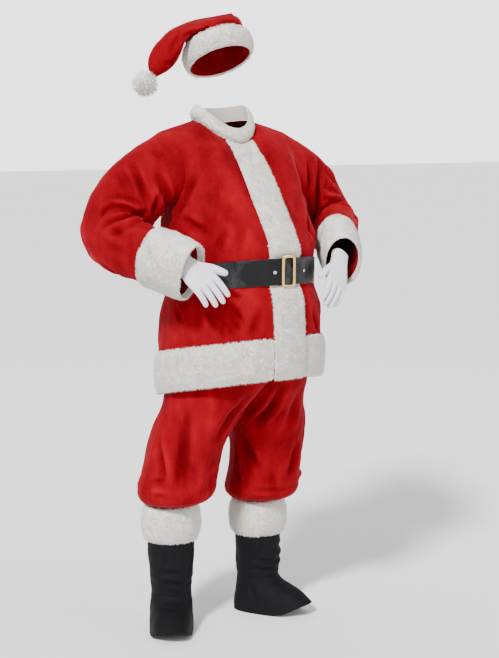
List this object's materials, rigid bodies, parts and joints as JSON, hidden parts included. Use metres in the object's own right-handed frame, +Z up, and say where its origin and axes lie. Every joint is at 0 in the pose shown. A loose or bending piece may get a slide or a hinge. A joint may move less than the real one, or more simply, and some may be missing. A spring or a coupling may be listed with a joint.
{
  "type": "santa suit",
  "caption": "Red plush costume as worn: fur-trimmed belted jacket, bloused trousers, cloth boot covers, knit gloves and a folded hat with a pompom.",
  "frame": {"origin": "middle of the jacket at shoulder level, where the wearer's shoulders hold the suit", "axes": "+Z up, -Y towards the front, +X towards the wearer's left"},
  "size_m": [0.944, 0.551, 1.8416],
  "materials": {
    "red_plush": "soft short red pile with a velvety sheen",
    "white_fur": "off-white deep fur pile",
    "glossy_strap": "glossy coated black strap with a mottled grain",
    "matt_strap": "matt black strap",
    "gold_metal": "polished gold-coloured metal",
    "silver_metal": "polished silver-coloured metal",
    "boot_cloth": "matt black coated cloth",
    "white_knit": "white stretch knit"
  },
  "bodies": {
    "root": {"belt_rivet": "silver_metal", "belt_snap": "silver_metal", "belt_strap": "glossy_strap", "belt_tongue": "matt_strap", "boot_cuff_left": "white_fur", "boot_cuff_right": "white_fur", "boot_foot_left": "boot_cloth", "boot_foot_right": "boot_cloth", "boot_shaft_left": "boot_cloth", "boot_shaft_right": "boot_cloth", "buckle_frame": "gold_metal", "collar": "white_fur", "cuff_left": "white_fur", "cuff_right": "white_fur", "front_trim": "white_fur", "glove_left": "white_knit", "glove_right": "white_knit", "hat_band": "white_fur", "hat_cone": "red_plush", "hem_trim_back": "white_fur", "hem_trim_front_left": "white_fur", "hem_trim_front_right": "white_fur", "jacket_back": "red_plush", "jacket_front_left": "red_plush", "jacket_front_right": "red_plush", "pompom": "white_fur", "sleeve_left": "red_plush", "sleeve_right": "red_plush", "trouser_back_left": "red_plush", "trouser_back_right": "red_plush", "trouser_front_left": "red_plush", "trouser_front_right": "red_plush", "waistband": "red_plush"}
  },
  "joints": []
}
